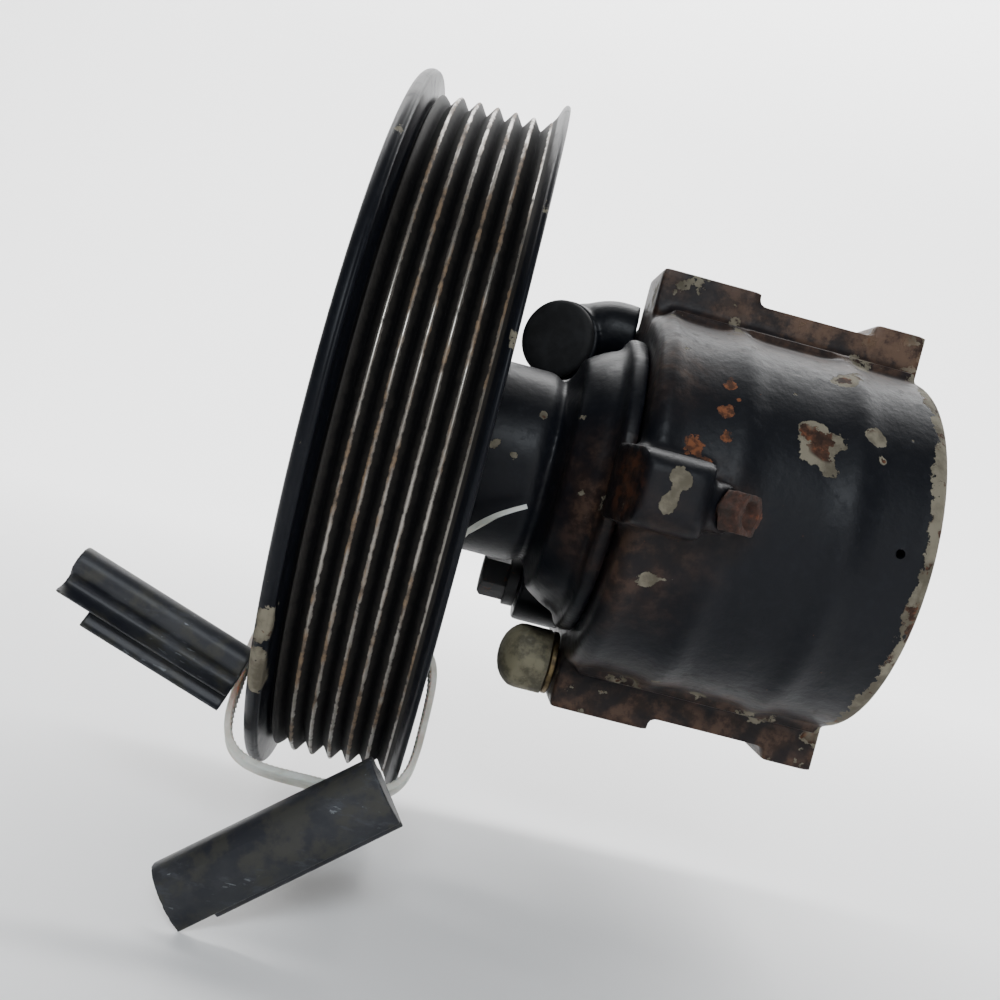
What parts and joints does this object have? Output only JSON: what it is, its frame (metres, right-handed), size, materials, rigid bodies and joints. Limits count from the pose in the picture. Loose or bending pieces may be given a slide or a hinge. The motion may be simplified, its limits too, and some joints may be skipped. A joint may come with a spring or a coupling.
{
  "type": "supercharger",
  "caption": "Small belt-driven two-rotor supercharger: ribbed belt pulley, round snout and gear case, cast drum with inlet and outlet rails, clamp lug and elbow stub.",
  "frame": {"origin": "on the drive shaft's axis, on the rear cover's flat outer face", "axes": "+X along the drive shaft from the pulley to the rear, -Y towards the clamp lug, +Z towards the inlet rail"},
  "size_m": [0.1482, 0.151, 0.1562],
  "materials": {
    "cast_paint": "black paint over grey-beige primer on cast iron, chipped, rusty round the rails",
    "case_paint": "black paint, dusty",
    "cover_paint": "black paint, worn at the edge",
    "pulley_rim": "black paint, bare and rusty on the rib crests",
    "pulley_paint": "satin black paint",
    "steel": "machined steel",
    "zinc": "dulled zinc plate",
    "rotor_alloy": "machined aluminium",
    "rusty_steel": "rusted steel",
    "bolt_black": "black oxide",
    "cap_olive": "beige-olive paint, dirty",
    "brass": "dull brass",
    "rubber": "matte black rubber",
    "nylon": "yellowed natural nylon",
    "shoe_paint": "blue-black paint, scuffed"
  },
  "bodies": {
    "housing": {"rotor_case": "cast_paint", "rear_cover": "cover_paint", "gear_case": "case_paint", "snout_bearing_outer_race": "steel", "drive_front_bearing_outer_race": "steel", "drive_rear_bearing_outer_race": "steel", "driven_front_bearing_outer_race": "steel", "driven_rear_bearing_outer_race": "steel", "drive_rotor_seal": "rubber", "driven_rotor_seal": "rubber", "snout_circlip": "steel", "snout_oil_seal": "rubber", "case_bolt_1": "bolt_black", "case_bolt_2": "bolt_black", "case_bolt_3": "bolt_black", "case_bolt_4": "bolt_black", "cover_screw_1": "zinc", "cover_screw_2": "zinc", "cover_screw_3": "zinc", "cover_screw_4": "zinc", "lug_bolt": "rusty_steel", "inlet_elbow": "case_paint", "elbow_bung": "rubber", "relief_cap": "cap_olive", "relief_cap_washer": "brass"},
    "drive_set": {"drive_shaft": "steel", "drive_rotor": "rotor_alloy", "drive_gear": "steel", "snout_bearing_inner_race": "steel", "drive_front_bearing_inner_race": "steel", "drive_rear_bearing_inner_race": "steel", "shaft_spacer": "steel", "pulley_rim": "pulley_rim", "pulley_web": "pulley_paint", "pulley_hub": "pulley_paint", "pulley_key": "steel", "pulley_washer": "zinc", "pulley_nut": "zinc", "pulley_bolt_1": "zinc", "pulley_bolt_2": "zinc", "pulley_bolt_3": "zinc", "pulley_bolt_4": "zinc", "cable_tie": "nylon", "rail_shoe_1": "shoe_paint", "rail_shoe_2": "shoe_paint"},
    "driven_set": {"driven_shaft": "steel", "driven_rotor": "rotor_alloy", "driven_gear": "steel", "driven_front_bearing_inner_race": "steel", "driven_rear_bearing_inner_race": "steel"},
    "snout_cage": {"snout_bearing_balls_and_cage": "steel"},
    "drive_front_cage": {"drive_front_bearing_balls_and_cage": "steel"},
    "drive_rear_cage": {"drive_rear_bearing_balls_and_cage": "steel"},
    "driven_front_cage": {"driven_front_bearing_balls_and_cage": "steel"},
    "driven_rear_cage": {"driven_rear_bearing_balls_and_cage": "steel"}
  },
  "joints": [
    {"name": "drive_spin", "type": "hinge", "parent": "housing", "child": "drive_set", "pos_m": [0, 0, 0], "axis": [1, 0, 0], "continuous": true},
    {"name": "driven_spin", "type": "hinge", "parent": "housing", "child": "driven_set", "pos_m": [0, 0.042, 0], "axis": [1, 0, 0], "continuous": true},
    {"name": "snout_cage_spin", "type": "hinge", "parent": "housing", "child": "snout_cage", "pos_m": [0, 0, 0], "axis": [1, 0, 0], "continuous": true},
    {"name": "drive_front_cage_spin", "type": "hinge", "parent": "housing", "child": "drive_front_cage", "pos_m": [0, 0, 0], "axis": [1, 0, 0], "continuous": true},
    {"name": "drive_rear_cage_spin", "type": "hinge", "parent": "housing", "child": "drive_rear_cage", "pos_m": [0, 0, 0], "axis": [1, 0, 0], "continuous": true},
    {"name": "driven_front_cage_spin", "type": "hinge", "parent": "housing", "child": "driven_front_cage", "pos_m": [0, 0.042, 0], "axis": [1, 0, 0], "continuous": true},
    {"name": "driven_rear_cage_spin", "type": "hinge", "parent": "housing", "child": "driven_rear_cage", "pos_m": [0, 0.042, 0], "axis": [1, 0, 0], "continuous": true}
  ],
  "couplings": [
    {"joint": "driven_spin", "follows": "drive_spin", "ratio": -1},
    {"joint": "snout_cage_spin", "follows": "drive_spin", "ratio": 0.436},
    {"joint": "drive_front_cage_spin", "follows": "drive_spin", "ratio": 0.437},
    {"joint": "drive_rear_cage_spin", "follows": "drive_spin", "ratio": 0.449},
    {"joint": "driven_front_cage_spin", "follows": "drive_spin", "ratio": -0.437},
    {"joint": "driven_rear_cage_spin", "follows": "drive_spin", "ratio": -0.449}
  ]
}
